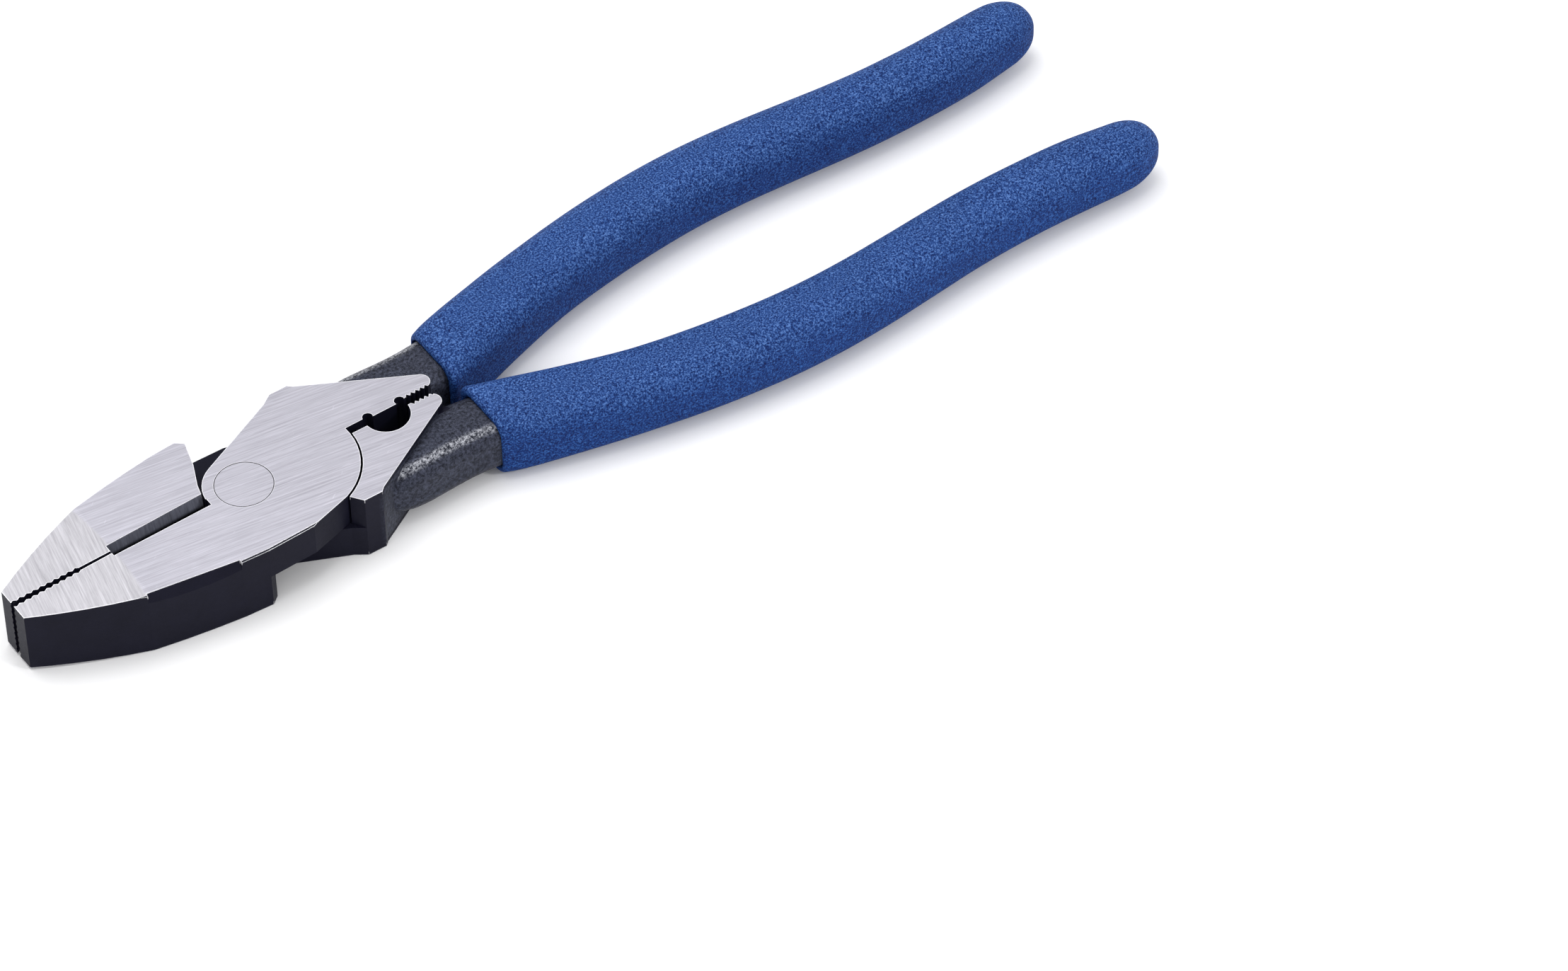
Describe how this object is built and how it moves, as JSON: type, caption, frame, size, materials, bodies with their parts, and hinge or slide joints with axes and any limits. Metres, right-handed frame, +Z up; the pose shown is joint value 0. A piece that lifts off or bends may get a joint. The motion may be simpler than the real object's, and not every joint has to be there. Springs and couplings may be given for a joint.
{
  "type": "lineman pliers",
  "caption": "Forged side-cutting pliers with a flush rivet, toothed square nose, knives, a crimping die behind the joint and dipped grips.",
  "frame": {"origin": "on the rivet's axis, at the ground underside that the tool lies on", "axes": "+X from the rivet to the nose, +Y to the side of the upper half's jaw, +Z up along the rivet's axis"},
  "size_m": [0.2378, 0.056, 0.0146],
  "materials": {
    "forged_steel": "ground faces brushed along the tool, forged walls and handles blackened",
    "ground_steel": "brushed",
    "dipped_grip": "matte blue, finely grained"
  },
  "bodies": {
    "upper": {"upper_half": "forged_steel", "upper_half_grip": "dipped_grip", "pivot_rivet": "ground_steel"},
    "lower": {"lower_half": "forged_steel", "lower_half_grip": "dipped_grip"}
  },
  "joints": [
    {"name": "pivot", "type": "hinge", "parent": "upper", "child": "lower", "pos_m": [0, 0, 0.0073], "axis": [0, 0, -1], "range_deg": [-0.75, 45]}
  ]
}
